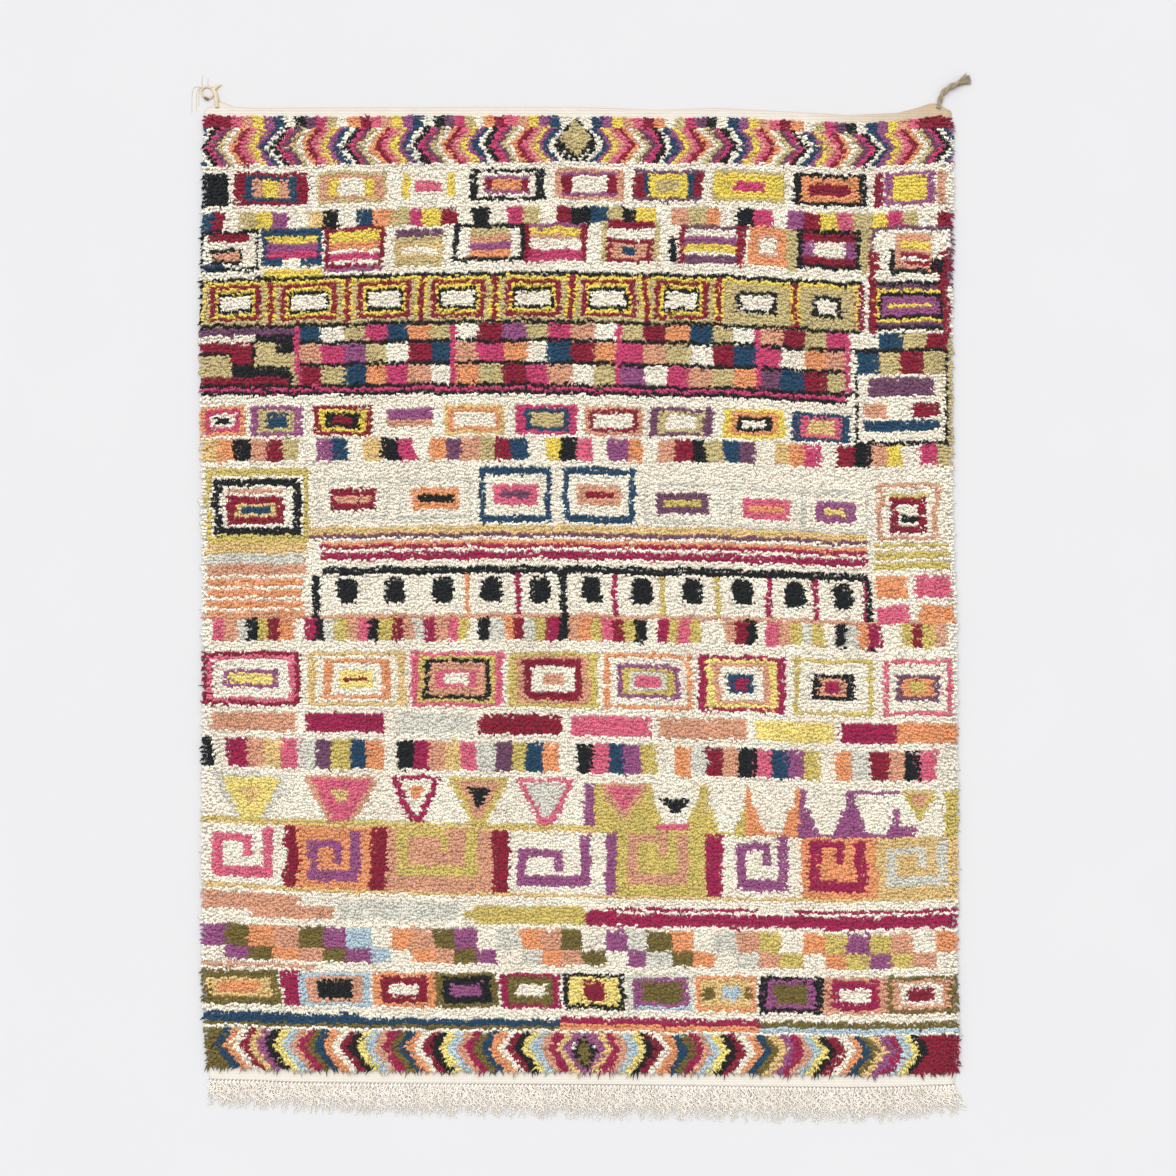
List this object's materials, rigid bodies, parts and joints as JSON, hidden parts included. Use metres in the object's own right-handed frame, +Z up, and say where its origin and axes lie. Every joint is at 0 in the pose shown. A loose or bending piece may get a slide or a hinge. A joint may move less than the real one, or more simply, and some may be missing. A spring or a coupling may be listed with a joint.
{
  "type": "hand-knotted wool rug",
  "caption": "Hand-knotted wool pile rug lying flat, with bands of chevrons, boxes and checks on ivory, flat-woven ends, a kinky warp fringe and two corner ties",
  "frame": {"origin": "middle of the underside of the whole rug, with its fringe and ties", "axes": "+X across the width, +Y along the length towards the end with the corner ties, +Z up from the floor through the pile"},
  "size_m": [2.088, 2.7978, 0.0259],
  "materials": {
    "knotted_wool": "matt knotted wool pile",
    "warp_yarn": "matt kinky wool warp",
    "tie_yarn": "matt two-ply wool",
    "warp_tie_yarn": "matt wool warp"
  },
  "bodies": {
    "root": {"rug": "knotted_wool", "warp_fringe": "warp_yarn", "right_corner_tie": "tie_yarn", "left_corner_tie": "warp_tie_yarn"}
  },
  "joints": []
}
